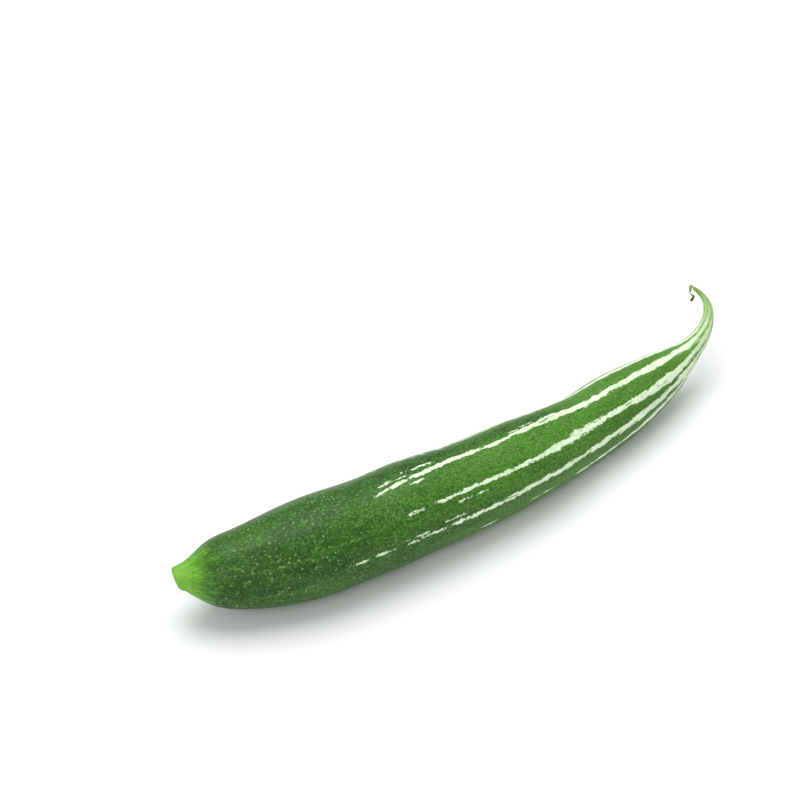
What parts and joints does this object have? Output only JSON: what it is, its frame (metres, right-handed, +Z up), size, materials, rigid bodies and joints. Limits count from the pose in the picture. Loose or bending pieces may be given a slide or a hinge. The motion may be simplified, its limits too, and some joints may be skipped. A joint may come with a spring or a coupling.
{
  "type": "snake gourd",
  "caption": "Long tapering curved gourd lying on its side, with a blunt stalk stub and a thin hooked tip that ends in a dried flower thread.",
  "frame": {"origin": "on the ground under the middle of the whole part's box", "axes": "+X along the fruit from the stalk end to the tip, +Y towards the side that both ends curve to, +Z up from the resting underside"},
  "size_m": [0.327, 0.0716, 0.0456],
  "materials": {
    "green_skin": "waxy, half gloss, dark green with pale lengthwise stripes towards the tip",
    "stalk_flesh": "moist, half matt, yellow green",
    "dried_flower": "dry, matt, green brown"
  },
  "bodies": {
    "root": {"fruit": "green_skin", "stalk_stub": "stalk_flesh", "flower_thread": "dried_flower"}
  },
  "joints": []
}
